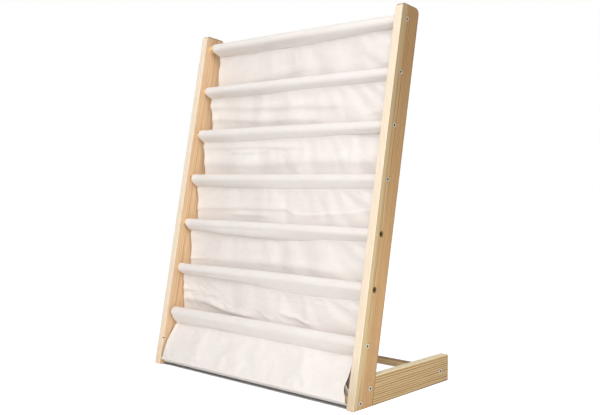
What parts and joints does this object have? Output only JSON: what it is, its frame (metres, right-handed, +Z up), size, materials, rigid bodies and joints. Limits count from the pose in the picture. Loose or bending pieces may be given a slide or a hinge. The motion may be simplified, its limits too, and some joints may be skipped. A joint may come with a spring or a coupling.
{
  "type": "sling bookshelf",
  "caption": "Leaning pine bookshelf with canvas sling pockets hung on round rods between two posts, standing on feet joined by a rear crossbar.",
  "frame": {"origin": "on the floor, under the middle of the shelf's width and depth", "axes": "+Z up, +X to the right as the shelf faces the viewer, +Y to the back, where the posts lean and the feet reach"},
  "size_m": [0.61, 0.336, 0.799],
  "materials": {
    "pine_board": "planed and clear sealed",
    "pine_dowel": "sanded and clear sealed",
    "screw_steel": "zinc plated",
    "canvas": "unbleached plain weave"
  },
  "bodies": {
    "root": {"post_left": "pine_board", "post_right": "pine_board", "foot_left": "pine_board", "foot_right": "pine_board", "rear_crossbar": "pine_dowel", "rod_1": "pine_dowel", "rod_2": "pine_dowel", "rod_3": "pine_dowel", "rod_4": "pine_dowel", "rod_5": "pine_dowel", "rod_6": "pine_dowel", "rod_7": "pine_dowel", "rod_8": "pine_dowel", "rod_screw_left_1": "screw_steel", "rod_screw_left_2": "screw_steel", "rod_screw_left_3": "screw_steel", "rod_screw_left_4": "screw_steel", "rod_screw_left_5": "screw_steel", "rod_screw_left_6": "screw_steel", "rod_screw_left_7": "screw_steel", "rod_screw_left_8": "screw_steel", "rod_screw_right_1": "screw_steel", "rod_screw_right_2": "screw_steel", "rod_screw_right_3": "screw_steel", "rod_screw_right_4": "screw_steel", "rod_screw_right_5": "screw_steel", "rod_screw_right_6": "screw_steel", "rod_screw_right_7": "screw_steel", "rod_screw_right_8": "screw_steel", "foot_screw_left": "screw_steel", "foot_screw_right": "screw_steel", "crossbar_screw_left": "screw_steel", "crossbar_screw_right": "screw_steel", "sling_1": "canvas", "sling_2": "canvas", "sling_3": "canvas", "sling_4": "canvas", "sling_5": "canvas", "sling_6": "canvas", "front_apron": "canvas"}
  },
  "joints": []
}
